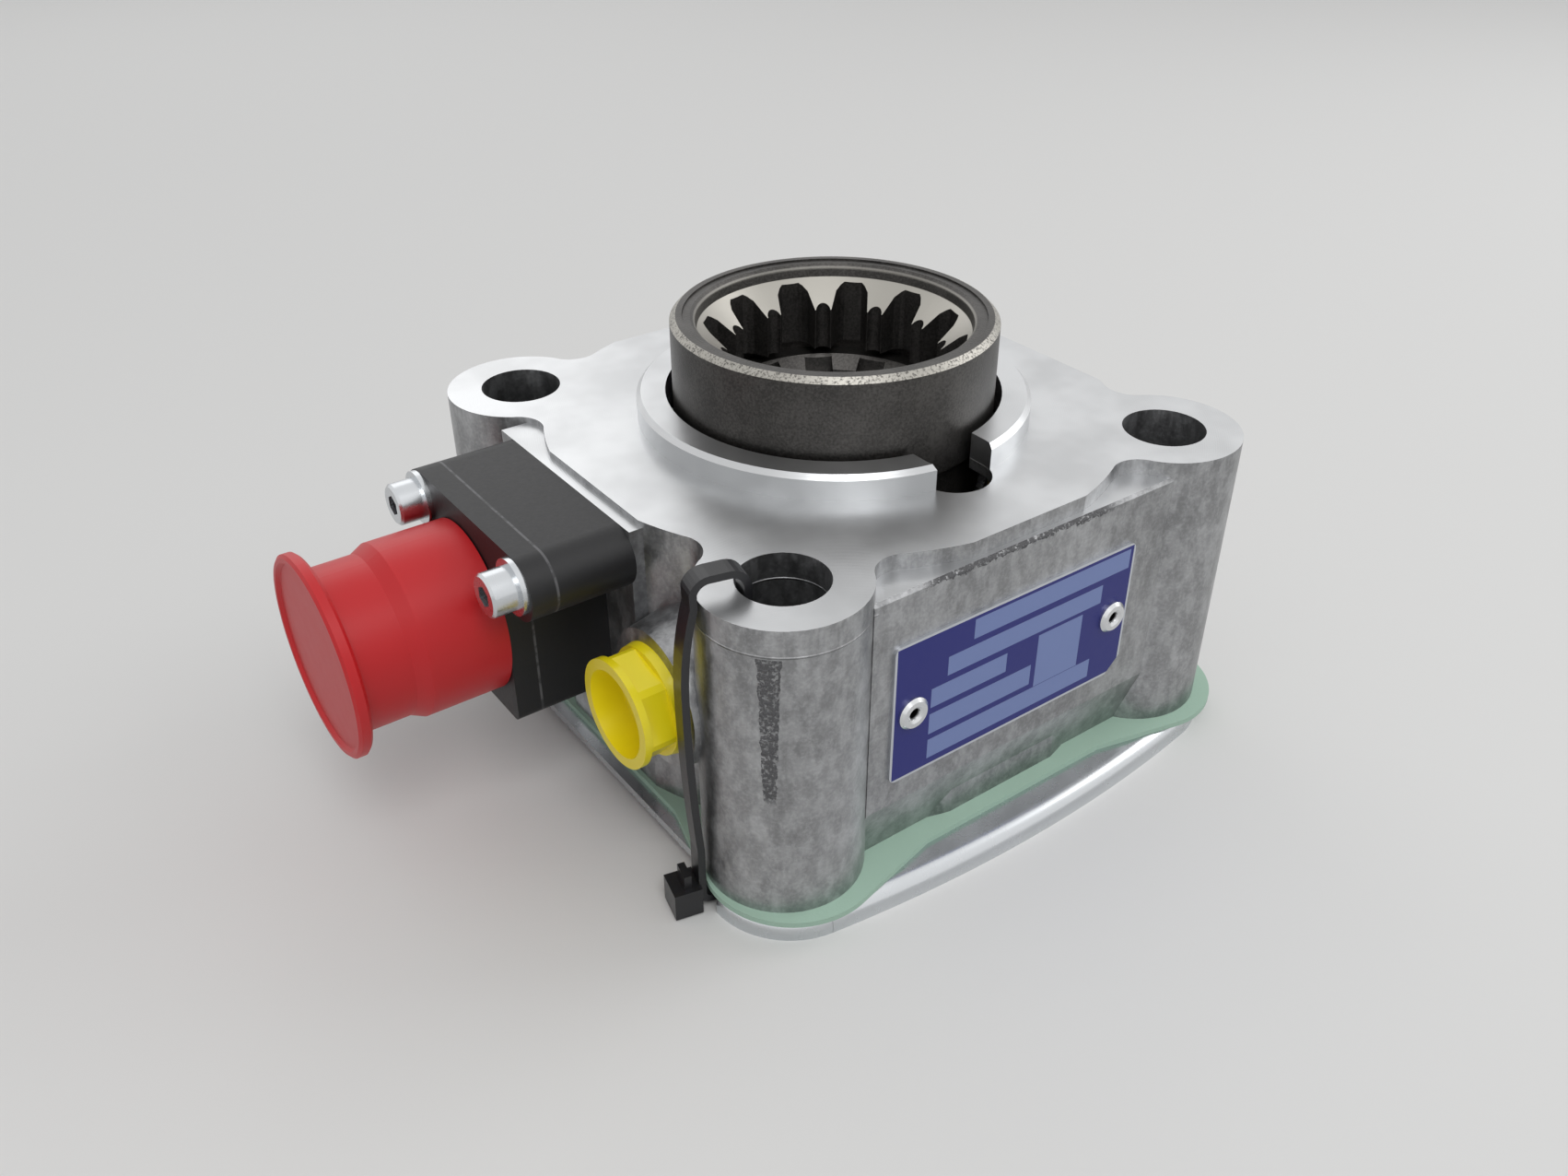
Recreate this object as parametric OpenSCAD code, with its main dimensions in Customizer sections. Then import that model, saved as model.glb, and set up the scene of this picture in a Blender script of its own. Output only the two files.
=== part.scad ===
// Air shifted power take off unit for a gearbox, with direct pump flange.
// Frame: the origin is on the shaft axis at the machined mounting face, +Z points
// to the gearbox, -Y is the nameplate side and -X is the valve side. Millimetres.

/* [Housing] */
// Height of the cast body from the mounting face to the pump face
body_h = 52.5; // [51.5:0.5:56]
// Radius of the round body
body_r = 50; // [49:0.25:51.5]
// Distance of the flat on the valve side from the axis
flat_valve = 48; // [47:0.25:49]
// Distance of the flat behind the nameplate from the axis
flat_name = 48.6; // [47.5:0.1:49.4]
// Distance of the flat on the plain side from the axis
flat_plain = 45.8; // [45:0.1:48]
// Distance of the flat on the back from the axis
flat_back = 47.2; // [45:0.1:49]
// Spacing of the four bolt holes, both ways
hole_pitch = 80; // [79:0.5:82]
// Bolt hole diameter
hole_d = 14; // [13:0.5:15]
// Radius of the bolt pillars
pillar_r = 13; // [12:0.25:14]
// Radius of the hollows between the pillars and the round body
hollow_r = 5; // [3:0.5:7]
// Main bore, which is also the pump pilot
bore_d = 80; // [79.5:0.1:80.5]
// Thickness of the wall under the mounting face
top_wall = 5; // [4.5:0.1:5.5]

/* [Pilot collar] */
// Wall of the pilot collar round the coupling sleeve
collar_wall = 5; // [4:0.25:6]
// Height of the pilot collar
collar_h = 4.3; // [3.5:0.1:6]
// Clearance of the coupling sleeve in the collar, on the radius
sleeve_gap = 1.25; // [1:0.05:1.5]
// Width of the oil slot through the collar
slot_w = 12.4; // [8:0.2:14]
// Distance from the axis to the centre of the round end of the slot
slot_reach = 31.2; // [30:0.2:33]
// Depth of the slot below the mounting face
slot_depth = 3; // [1:0.5:4]

/* [Coupling sleeve] */
// Outer diameter of the sleeve
sleeve_d = 55.5; // [54:0.1:56.5]
// Height of the sleeve above the mounting face when disengaged
sleeve_top = 17.5; // [15:0.5:20]
// Number of coupling teeth
tooth_count = 12; // [10:1:12]
// Radius at the tooth roots
tooth_root_r = 22.4; // [21.8:0.1:22.7]
// Radius at the tooth crests
tooth_crest_r = 18.2; // [17.6:0.1:19]
// Turn of the first tooth gap from +X
tooth_phase = 13; // [0:1:29]
// Travel of the sleeve and piston from disengaged to engaged
shift_travel = 7.5; // [5:0.25:7.5]

/* [Shaft and bearings] */
// Outer diameter of the support bearings
support_d = 58; // [57.5:0.1:58.5]
// Radial section of the support bearings, which sets the shaft
support_section = 6.5; // [6.3:0.1:6.7]
// Bore of the shift bearing
shift_bore_d = 50; // [49.6:0.1:50.4]
// Outer diameter of the shift bearing
shift_d = 65; // [64.6:0.1:65.2]
// Width of every bearing
bearing_w = 7; // [6.8:0.1:7.2]
// Wall of the shaft outside the pump spline
pump_wall = 4.5; // [4:0.25:5]
// Depth of the keyways of the pump spline
pump_key = 2; // [1.5:0.25:2.5]

/* [Valve and connector] */
// Distance of the valve seat from the axis
valve_seat_x = 50.1; // [49.5:0.1:51]
// Depth of the valve body along X
valve_body_l = 13.2; // [12:0.2:15]
// Thickness of the connector flange
flange_t = 4.3; // [3.5:0.1:5.5]
// Place of the connector axis along Y
conn_y = 7.4; // [6:0.2:9]
// Place of the connector axis along Z
conn_z = -18.6; // [-19:0.1:-18]
// Width of the valve body along Y
valve_w = 26.4; // [26:0.2:30]
// Height of the valve body
valve_h = 33.8; // [33:0.2:36]
// Y of the screw nearest the nameplate
screw_y_front = -11.2; // [-13:0.2:-10.6]
// Y of the far screw
screw_y_back = 22; // [21.6:0.2:23]
// Radius of the screw ears
ear_r = 5.2; // [4.8:0.1:5.6]

/* [Transport parts] */
// Radius of the wide part of the red cap
cap_wide_r = 14.4; // [14.2:0.1:14.8]
// Radius of the narrow part of the red cap
cap_narrow_r = 13.3; // [13:0.1:13.6]
// Radius of the grip disc of the cap
cap_disc_r = 16.5; // [15:0.5:18]
// Length of the cap with its disc
cap_l = 25.6; // [24:0.2:28]
// Thickness of the gasket
gasket_t = 1; // [0.5:0.1:1.5]
// Thickness of the cover plate sheet
sheet_t = 1.5; // [1:0.1:2]
// Height of the turned down edges of the cover plate
lip_h = 4; // [3.4:0.1:5]
// Width of the cable tie strap
strap_w = 3.4; // [2.5:0.1:4]
// Thickness of the cable tie strap
strap_t = 1.2; // [0.9:0.1:1.3]

/* [Nameplate] */
// Length of the nameplate
plate_l = 51.3; // [48:0.1:53]
// Height of the nameplate
plate_h = 25.7; // [20:0.1:27]
// Distance between its two rivets
rivet_pitch = 43.5; // [36:0.5:44]

/* [Hidden] */
$fn = 96;

// Running clearance of turning and sliding fits, on the radius
run = 0.05;
// Amount by which a cut passes the face that it opens
past = 1;

collar_bore_d = sleeve_d + 2 * sleeve_gap;
collar_d = collar_bore_d + 2 * collar_wall;
shaft_d = support_d - 2 * support_section;
pump_spline_d = shaft_d - 2 * pump_wall;
pump_bore_d = pump_spline_d - 2 * pump_key;
bolt = hole_pitch / 2;
bore_r = bore_d / 2;
sleeve_r = sleeve_d / 2;
shaft_r = shaft_d / 2;
edge = 0.8;

// Axial places inside the main bore, from the carrier upwards
pilot_depth = 6;
carrier_z = pilot_depth - body_h;
seal_w = 6;
spacer_w = 4;
lower_bearing_z = carrier_z + seal_w;
spacer_z = lower_bearing_z + bearing_w;
upper_bearing_z = spacer_z + spacer_w;
neck_lip = 1.3;
neck_top = upper_bearing_z + bearing_w + neck_lip;
carrier_h = 13.5;
carrier_top = carrier_z + carrier_h;
neck_wall = 3.9;
neck_r = support_d / 2 + neck_wall;
carrier_r = bore_r - run;

// Piston and what rides on it
piston_r = bore_r - 2 * run;
piston_bottom = carrier_top + 1;
piston_lip = neck_top + 1.5;
lip_t = 1.2;
shift_bearing_z = piston_lip + lip_t;
clip_t = 1.3;
shift_r = shift_d / 2;
piston_bore_r = neck_r + run + 0.05;
hub_r = shift_r + 2.1;
hub_top = shift_bearing_z + bearing_w + clip_t + 0.4;
skirt_t = 1.45;
skirt_top = hub_top - 4.2;
pocket_z = piston_bottom + 8;
spring_wire = 2.6;
spring_r = (hub_r + piston_r - skirt_t) / 2;
relief_r = hub_r + 0.6;
relief_z = hub_top + shift_travel + 0.3;

// Sleeve heights
shoulder_z = -2;
hub_bottom = shift_bearing_z - clip_t - 1.2;
face_top = sleeve_top - 2.5;
face_cone = 4.5;
groove_z = 3;
floor_z = 1.2;
spline_n = 12;
spline_r = shaft_r - 2.9;
spline_root_r = spline_r - 1.8;
core_r = spline_root_r - 3.8;
spline_key = 4.9;
side_play = 0.1;

// Valve places along X, measured outwards from the axis
flange_x = valve_seat_x + valve_body_l;
front_x = flange_x + flange_t;
valve_top = -1;
valve_bottom = valve_top - valve_h;
screw_z = valve_top - ear_r + 0.6;
washer_r = 4.5;
washer_t = 0.9;
screw_r = 2;
screw_l = 22;
head_r = 3.5;
head_h = 4.2;

// Air port
port_y = -25.2;
port_z = -24;
port_x = 53.5;
boss_r = 11.3;
port_r = 5.9;
port_l = 11;
gallery_x = 44.4;
gallery_r = 1.7;
inlet_y = 2;
outlet_y = 13;
outlet_z = -28;

// Nameplate pad
pad_y = 50;
pad_top = -2.7;
pad_low = -42;
pad_half = 31.5;
plate_x = -1.9;
plate_z = -24.4;
plate_t = 0.5;
rivet_y_shift = 0.3;

// Transport cover
gasket_shift = [0.8, -1.2];
gasket_grow = 1.6;
gasket_z = -body_h - gasket_t;
sheet_z = gasket_z - sheet_t;
cover_half_x = 51.2;
cover_half_y = 57.7;
cover_bow_r = 270;
cover_corner_r = 14.4;
cover_corner_x = 39;
lip_bend_r = 2.6;
lip_relief = 1.5;
cover_hole_r = 8.2;

// Ring between two radii and two heights.
module ring(r_out, r_in, z0, z1) {
    translate([0, 0, z0]) difference() {
        cylinder(r = r_out, h = z1 - z0);
        translate([0, 0, -past]) cylinder(r = r_in, h = z1 - z0 + 2 * past);
    }
}

// Cylinder along X between two distances on the -X side.
module rod_x(x_far, x_near, y, z, r_far, r_near) {
    translate([-x_far, y, z]) rotate([0, 90, 0]) cylinder(r1 = r_far, r2 = r_near, h = x_far - x_near);
}

// Extrudes an outline drawn in Y and Z along X, from -x_far to -x_near.
module slab_x(x_far, x_near) {
    translate([-x_far, 0, 0]) rotate([90, 0, 90]) linear_extrude(x_far - x_near) children();
}

// Places its children at the four bolt holes.
module at_bolts() {
    for (sx = [-1, 1], sy = [-1, 1]) translate([sx * bolt, sy * bolt]) children();
}

// Centre of the hollow on one side of a pillar, for a body and a pillar radius.
function hollow_at(r_body, r_pillar, r_hollow, sx, sy, side) =
    let (reach = bolt * sqrt(2), a = r_body + r_hollow, b = r_pillar + r_hollow,
        spot = 45 + side * acos((a * a + reach * reach - b * b) / (2 * a * reach)))
    [sx * a * cos(spot), sy * a * sin(spot)];

// The same points in the turning sense that suits a mirrored corner.
function wound(points, flip) = flip ? [for (i = [len(points) - 1 : -1 : 0]) points[i]] : points;

// Outline of the cast body.
module body_outline() {
    rb = body_r;
    rp = pillar_r;
    rh = hollow_r;
    difference() {
        union() {
            intersection() {
                circle(r = rb);
                translate([-flat_valve, -flat_name]) square([flat_valve + flat_plain, flat_name + flat_back]);
            }
            at_bolts() circle(r = rp);
            for (sx = [-1, 1], sy = [-1, 1]) polygon(wound([
                [0, 0], hollow_at(rb, rp, rh, sx, sy, -1), [sx * bolt, sy * bolt], hollow_at(rb, rp, rh, sx, sy, 1)
            ], sx * sy < 0));
        }
        for (sx = [-1, 1], sy = [-1, 1], side = [-1, 1])
            translate(hollow_at(rb, rp, rh, sx, sy, side)) circle(r = rh + 0.03);
    }
}

// Pad that carries the nameplate, drawn in from the side, with a drafted foot.
module name_pad() {
    foot = 2.6;
    slab_x(pad_half, -pad_half) polygon([
        [-flat_back + 5, pad_top], [-pad_y + 0.5, pad_top], [-pad_y, pad_top - 0.5],
        [-pad_y, pad_low], [-pad_y + foot, -body_h], [-flat_back + 5, -body_h]
    ]);
}

// Flat seat that the valve is screwed to, with round corners.
module valve_seat() {
    y0 = screw_y_front - ear_r + 1.6;
    y1 = screw_y_back + ear_r + 0.4;
    z0 = valve_bottom - 1.2;
    corner = 2;
    slab_x(valve_seat_x, flat_valve - 5) {
        translate([y0 + corner, z0]) square([y1 - y0 - 2 * corner, valve_top - z0]);
        translate([y0, z0 + corner]) square([y1 - y0, valve_top - z0 - corner]);
        for (y = [y0 + corner, y1 - corner]) translate([y, z0 + corner]) circle(r = corner);
    }
}

// Oil slot: a milled slot with a round end, from the bore out through the collar.
module oil_slot() {
    translate([0, -slot_reach, -slot_depth]) cylinder(d = slot_w, h = slot_depth + collar_h + past);
    translate([-slot_w / 2, -slot_reach, -slot_depth])
        cube([slot_w, slot_reach - collar_bore_d / 4, slot_depth + collar_h + past]);
}

// Pilot collar with a chamfered edge.
module pilot_collar() {
    r = collar_d / 2;
    rotate_extrude() polygon([
        [collar_bore_d / 2 - 1, -1], [r, -1], [r, collar_h - edge], [r - edge, collar_h],
        [collar_bore_d / 2 - 1, collar_h]
    ]);
}

// Air passages: the supply port, its gallery to the valve and the drilling to the cylinder.
module air_passages() {
    rod_x(port_x + past, port_x - port_l, port_y, port_z, port_r, port_r);
    rod_x(port_x + past, port_x - 1, port_y, port_z, port_r + 1.6, port_r);
    translate([-gallery_x, port_y, port_z]) rotate([-90, 0, 0]) cylinder(r = gallery_r, h = inlet_y - port_y);
    rod_x(valve_seat_x + past, gallery_x, inlet_y, port_z, gallery_r, gallery_r);
    translate([-valve_seat_x - past, outlet_y, outlet_z + 0.5]) rotate([0, 117, 0]) cylinder(r = 1.2, h = 16);
}

module housing() {
    color([0.72, 0.73, 0.75]) difference() {
        union() {
            translate([0, 0, -body_h]) linear_extrude(body_h) body_outline();
            pilot_collar();
            name_pad();
            valve_seat();
            rod_x(port_x, flat_valve - 9, port_y, port_z, boss_r, boss_r + 2.6);
        }
        translate([0, 0, -top_wall - past]) cylinder(d = collar_bore_d, h = top_wall + collar_h + 2 * past);
        translate([0, 0, -body_h - past]) cylinder(r = bore_r, h = body_h - top_wall + past);
        translate([0, 0, -top_wall - past]) cylinder(r = relief_r, h = relief_z + top_wall + past);
        translate([0, 0, -body_h - 0.01]) cylinder(r1 = bore_r + edge, r2 = bore_r, h = edge);
        ring(bore_r + 1.2, bore_r - 1, carrier_z - 1.7, carrier_z);
        at_bolts() translate([0, 0, -body_h - past]) cylinder(d = hole_d, h = body_h + 2 * past);
        oil_slot();
        air_passages();
        for (y = [screw_y_front, screw_y_back])
            rod_x(valve_seat_x + past, front_x - screw_l, y, screw_z, screw_r + 0.02, screw_r + 0.02);
        for (side = [-1, 1]) translate([plate_x + side * rivet_pitch / 2, -pad_y - past, plate_z - rivet_y_shift])
            rotate([-90, 0, 0]) cylinder(r = 1.6, h = 7);
    }
}

// One gap between two coupling teeth, wide at the crest and narrow at the root.
module tooth_gap() {
    mid_r = (tooth_crest_r + tooth_root_r) / 2 + 0.6;
    polygon([
        [tooth_crest_r - 2, 3.5], [tooth_crest_r, 3.25], [mid_r, 2.9], [tooth_root_r - 0.5, 2.2],
        [tooth_root_r, 1.6], [tooth_root_r, -1.6], [tooth_root_r - 0.5, -2.2],
        [mid_r, -2.9], [tooth_crest_r, -3.25], [tooth_crest_r - 2, -3.5]
    ]);
}

// Turned blank of the sleeve: rim, lip, bevelled tooth face, relief groove and hub.
module sleeve_blank() {
    hub = shift_bore_d / 2;
    lip_r = 23.5;
    rotate_extrude() polygon([
        [hub, hub_bottom], [hub, shift_bearing_z + bearing_w], [hub + 1.2, shift_bearing_z + bearing_w],
        [hub + 1.2, shoulder_z], [sleeve_r - 0.7, shoulder_z], [sleeve_r, shoulder_z + 0.7],
        [sleeve_r, sleeve_top - 0.9], [sleeve_r - 0.9, sleeve_top], [sleeve_r - 2.1, sleeve_top],
        [sleeve_r - 2.1, sleeve_top - 0.3], [lip_r + 0.8, sleeve_top - 0.3], [lip_r, sleeve_top - 1],
        [lip_r - 0.3, face_top], [tooth_crest_r, face_top - face_cone], [tooth_crest_r, groove_z],
        [lip_r + 0.2, groove_z], [lip_r + 0.2, floor_z], [spline_r + 0.6, floor_z],
        [spline_root_r + 2 * run, floor_z - 2.3], [spline_root_r + 2 * run, hub_bottom]
    ]);
}

module coupling_sleeve() {
    color([0.27, 0.27, 0.26]) difference() {
        sleeve_blank();
        for (i = [0 : tooth_count - 1]) rotate(tooth_phase + i * 360 / tooth_count)
            translate([0, 0, groove_z - 1]) linear_extrude(face_top - groove_z + 2) tooth_gap();
        for (i = [0 : tooth_count - 1]) rotate(tooth_phase + (i + 0.5) * 360 / tooth_count)
            translate([tooth_crest_r - 0.3, 0, groove_z - 1]) cylinder(r = 1.35, h = face_top - groove_z, $fn = 24);
        for (i = [0 : spline_n - 1]) rotate(i * 360 / spline_n)
            translate([spline_root_r - 1, -spline_key / 2 - side_play, hub_bottom - past])
                cube([spline_r - spline_root_r + 1 + run, spline_key + 2 * side_play, floor_z - hub_bottom + past]);
        ring(shift_bore_d / 2 + past, shift_bore_d / 2 - 1, shift_bearing_z - clip_t, shift_bearing_z);
    }
}

// Bore of the pump spline: a round hole with eight straight keyways.
module pump_bore() {
    key = 6;
    circle(d = pump_bore_d);
    intersection() {
        circle(d = pump_spline_d);
        for (turn = [0 : 45 : 135]) rotate(turn) square([pump_spline_d + 2, key], center = true);
    }
}

// Outline of the outer spline that carries the sleeve.
module sleeve_spline() {
    circle(r = spline_root_r);
    intersection() {
        circle(r = spline_r);
        for (i = [0 : spline_n / 2 - 1]) rotate(i * 360 / spline_n)
            square([2 * spline_r + 2, spline_key], center = true);
    }
}

module output_shaft() {
    bottom = carrier_z - 1;
    shaft_top = -3;
    step = upper_bearing_z + bearing_w;
    spline_l = 26;
    color([0.42, 0.42, 0.43]) difference() {
        union() {
            translate([0, 0, bottom]) cylinder(r = shaft_r, h = step - bottom);
            translate([0, 0, spacer_z]) cylinder(r = shaft_r + 2, h = spacer_w);
            translate([0, 0, step - 1]) linear_extrude(shaft_top - step + 1) sleeve_spline();
        }
        translate([0, 0, bottom - past]) linear_extrude(spline_l + past) pump_bore();
        translate([0, 0, bottom - past]) cylinder(d = pump_spline_d + 1, h = past + 1.5);
        translate([0, 0, bottom - past]) cylinder(r = core_r, h = body_h);
    }
}

// Pressed steel cup that closes the hollow shaft against gearbox oil.
module shaft_core_plug() {
    z = -12;
    color([0.6, 0.6, 0.58]) difference() {
        translate([0, 0, z]) cylinder(r = core_r, h = 5);
        translate([0, 0, z + 1.2]) cylinder(r = core_r - 1.2, h = 5);
    }
}

module bearing_carrier() {
    bore = support_d / 2;
    color([0.66, 0.67, 0.68]) difference() {
        union() {
            translate([0, 0, carrier_z]) cylinder(r = carrier_r, h = carrier_h - 2);
            translate([0, 0, carrier_top - 2.01]) cylinder(r = bore_r - 3, h = 2.01);
            translate([0, 0, carrier_top - 0.01]) cylinder(r = neck_r, h = neck_top - carrier_top + 0.01);
        }
        translate([0, 0, carrier_z - past]) cylinder(r = bore, h = neck_top - neck_lip - carrier_z + past);
        translate([0, 0, carrier_z]) cylinder(r = bore - 1.6, h = 60);
        ring(bore_r + past, bore_r - 2, carrier_z + 5, carrier_z + 7.4);
        ring(neck_r + past, neck_r - 2, seal_groove_z, seal_groove_z + 2.2);
    }
}

// Height of the groove in the carrier neck; the piston still covers it when engaged.
seal_groove_z = piston_bottom + shift_travel + 0.3;

// Ring seal with round flanks, seated in a groove.
module groove_ring(r_out, r_in, z0, z1) {
    rotate_extrude() polygon([
        [r_in, z0 + 0.1], [r_out - 0.3, z0 + 0.1], [r_out, z0 + 0.5],
        [r_out, z1 - 0.5], [r_out - 0.3, z1 - 0.1], [r_in, z1 - 0.1]
    ]);
}

module carrier_o_ring() {
    color([0.08, 0.08, 0.08]) groove_ring(bore_r - 0.02, bore_r - 1.98, carrier_z + 5, carrier_z + 7.4);
}

module carrier_piston_seal() {
    color([0.1, 0.1, 0.1]) groove_ring(piston_bore_r - 0.03, neck_r - 1.98, seal_groove_z, seal_groove_z + 2.2);
}

// Snap ring with a gap and two eyes, made as one flat piece. The eyes stand inwards on a ring
// that sits in a bore (eye_side -1) and outwards on a ring that sits on a hub (eye_side 1).
module snap_ring(r_out, r_in, z, t, gap_angle, eye_r, eye_side) {
    mid = eye_side > 0 ? r_in + eye_r : r_out - eye_r;
    translate([0, 0, z]) linear_extrude(t) difference() {
        union() {
            difference() {
                circle(r = r_out);
                circle(r = r_in);
                polygon([[0, 0], [2 * r_out, -2 * r_out * tan(gap_angle)], [2 * r_out, 2 * r_out * tan(gap_angle)]]);
            }
            for (side = [-1, 1]) rotate(side * (gap_angle + 3)) translate([mid, 0]) circle(r = eye_r, $fn = 32);
        }
        for (side = [-1, 1]) rotate(side * (gap_angle + 3)) translate([mid, 0]) circle(r = 0.7, $fn = 24);
    }
}

module carrier_snap_ring() {
    color([0.3, 0.3, 0.32]) snap_ring(bore_r + 1.1, bore_r - 1.6, carrier_z - 1.6, 1.5, 5, 1.8, -1);
}

module bearing_spacer() {
    color([0.6, 0.6, 0.62]) ring(support_d / 2 - 0.02, shaft_r + 3.6, spacer_z + 0.02, spacer_z + spacer_w - 0.02);
}

// Lip seal of the shaft: steel shell, rubber body and a lip that meets the shaft.
module shaft_seal() {
    z0 = carrier_z + 0.02;
    z1 = carrier_z + seal_w - 0.02;
    shell = support_d / 2 - 0.02;
    color([0.1, 0.1, 0.1]) rotate_extrude() polygon([
        [shell, z0 + 0.4], [shell, z1], [shell - 3.4, z1], [shell - 3.4, z1 - 1.2], [shell - 1.4, z1 - 1.2],
        [shell - 1.4, z0 + 1.6], [shaft_r + 1.4, z0 + 1.6], [shaft_r + run, z0 + 2.9], [shaft_r + run, z0 + 2.4],
        [shaft_r + 0.8, z0], [shell - 0.4, z0]
    ]);
}

// Pitch radius, ball radius and count of a thin section bearing between two radii.
function pitch_r(r_in, r_out) = (r_in + r_out) / 2;
function ball_r(r_in, r_out) = (r_out - r_in) * 0.3;

module bearing_outer(r_in, r_out, z) {
    p = pitch_r(r_in, r_out);
    b = ball_r(r_in, r_out);
    color([0.62, 0.63, 0.65]) difference() {
        ring(r_out, p + b * 0.55, z, z + bearing_w);
        translate([0, 0, z + bearing_w / 2]) rotate_extrude() translate([p, 0]) circle(r = b + 0.04, $fn = 32);
    }
}

module bearing_inner(r_in, r_out, z) {
    p = pitch_r(r_in, r_out);
    b = ball_r(r_in, r_out);
    color([0.62, 0.63, 0.65]) difference() {
        ring(p - b * 0.55, r_in, z, z + bearing_w);
        translate([0, 0, z + bearing_w / 2]) rotate_extrude() translate([p, 0]) circle(r = b + 0.04, $fn = 32);
    }
}

// Places its children at every ball of a bearing.
module at_balls(r_in, r_out, z, count) {
    for (i = [0 : count - 1]) rotate(i * 360 / count)
        translate([pitch_r(r_in, r_out), 0, z + bearing_w / 2]) children();
}

module bearing_cage(r_in, r_out, z, count) {
    p = pitch_r(r_in, r_out);
    b = ball_r(r_in, r_out);
    color([0.35, 0.27, 0.16]) difference() {
        ring(p + b * 0.35, p - b * 0.35, z + 1, z + bearing_w - 1);
        at_balls(r_in, r_out, z, count) sphere(r = b + 0.08, $fn = 24);
    }
}

module bearing_balls(r_in, r_out, z, count) {
    color([0.8, 0.8, 0.82]) at_balls(r_in, r_out, z, count) sphere(r = ball_r(r_in, r_out), $fn = 24);
}

support_balls = 20;
shift_balls = 20;
module upper_bearing_outer_ring() { bearing_outer(shaft_r, support_d / 2, upper_bearing_z); }
module upper_bearing_inner_ring() { bearing_inner(shaft_r, support_d / 2, upper_bearing_z); }
module upper_bearing_cage() { bearing_cage(shaft_r, support_d / 2, upper_bearing_z, support_balls); }
module upper_bearing_balls() { bearing_balls(shaft_r, support_d / 2, upper_bearing_z, support_balls); }
module lower_bearing_outer_ring() { bearing_outer(shaft_r, support_d / 2, lower_bearing_z); }
module lower_bearing_inner_ring() { bearing_inner(shaft_r, support_d / 2, lower_bearing_z); }
module lower_bearing_cage() { bearing_cage(shaft_r, support_d / 2, lower_bearing_z, support_balls); }
module lower_bearing_balls() { bearing_balls(shaft_r, support_d / 2, lower_bearing_z, support_balls); }
module shift_bearing_outer_ring() { bearing_outer(shift_bore_d / 2, shift_r, shift_bearing_z); }
module shift_bearing_inner_ring() { bearing_inner(shift_bore_d / 2, shift_r, shift_bearing_z); }
module shift_bearing_cage() { bearing_cage(shift_bore_d / 2, shift_r, shift_bearing_z, shift_balls); }
module shift_bearing_balls() { bearing_balls(shift_bore_d / 2, shift_r, shift_bearing_z, shift_balls); }

// Ring piston with the spring pocket above and the bearing seat inside its hub.
module piston() {
    color([0.62, 0.6, 0.55]) difference() {
        rotate_extrude() polygon([
            [piston_bore_r, piston_bottom], [piston_r - 0.5, piston_bottom], [piston_r, piston_bottom + 0.5],
            [piston_r, skirt_top], [piston_r - skirt_t, skirt_top], [piston_r - skirt_t, pocket_z],
            [hub_r, pocket_z], [hub_r, hub_top], [shift_r, hub_top], [shift_r, shift_bearing_z],
            [shift_r - 1.5, shift_bearing_z], [shift_r - 1.5, piston_lip], [piston_bore_r, piston_lip]
        ]);
        ring(piston_r + past, piston_r - 2.2, piston_bottom + 3, piston_bottom + 5.8);
        ring(shift_r + 1.1, shift_r - 1, shift_bearing_z + bearing_w, shift_bearing_z + bearing_w + clip_t);
    }
}

module piston_seal() {
    color([0.1, 0.1, 0.1]) groove_ring(bore_r - 0.03, piston_r - 2.18, piston_bottom + 3, piston_bottom + 5.8);
}

module piston_snap_ring() {
    z = shift_bearing_z + bearing_w + 0.05;
    color([0.3, 0.3, 0.32]) snap_ring(shift_r + 0.9, shift_r - 1.3, z, clip_t - 0.1, 5, 1.5, -1);
}

module sleeve_snap_ring() {
    color([0.3, 0.3, 0.32])
        snap_ring(shift_bore_d / 2 + 1.4, shift_bore_d / 2 - 0.95, shift_bearing_z - clip_t + 0.05, clip_t - 0.1, 4, 1.3, 1);
}

// Points of a helix swept as a tube, with closed end coils.
function coil_height(t, turns, h, wire) =
    let (dead = 0.75, live = turns - 2 * dead, rise = h - wire * (2 * dead + 1), t1 = min(t, dead))
    wire / 2 + wire * t1
    + (rise + 0) * max(0, min(t - dead, live)) / live
    + wire * max(0, t - dead - live);

module coil_spring(r, wire, h, turns, steps, sides) {
    count = round(turns * steps);
    gap = 0.02;
    rings = [for (i = [0 : count])
        let (t = i / steps, a = 360 * t, z = coil_height(t, turns, h - 2 * gap, wire) + gap)
        [for (k = [0 : sides - 1])
            let (q = 360 * (k + 0.5) / sides, rr = r + wire / 2 * cos(q))
            [rr * cos(a), rr * sin(a), z + wire / 2 * 0.97 * sin(q)]]];
    points = [for (loop = rings, p = loop) p];
    walls = [for (i = [0 : count - 1], k = [0 : sides - 1])
        [i * sides + k, i * sides + (k + 1) % sides, (i + 1) * sides + (k + 1) % sides, (i + 1) * sides + k]];
    first_cap = [for (k = [0 : sides - 1]) sides - 1 - k];
    last_cap = [for (k = [0 : sides - 1]) count * sides + k];
    polyhedron(points, concat(walls, [first_cap, last_cap]), convexity = 6);
}

module return_spring() {
    color([0.55, 0.56, 0.58]) translate([0, 0, pocket_z])
        coil_spring(spring_r, spring_wire, -top_wall - pocket_z, 3.6, 24, 8);
}

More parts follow.
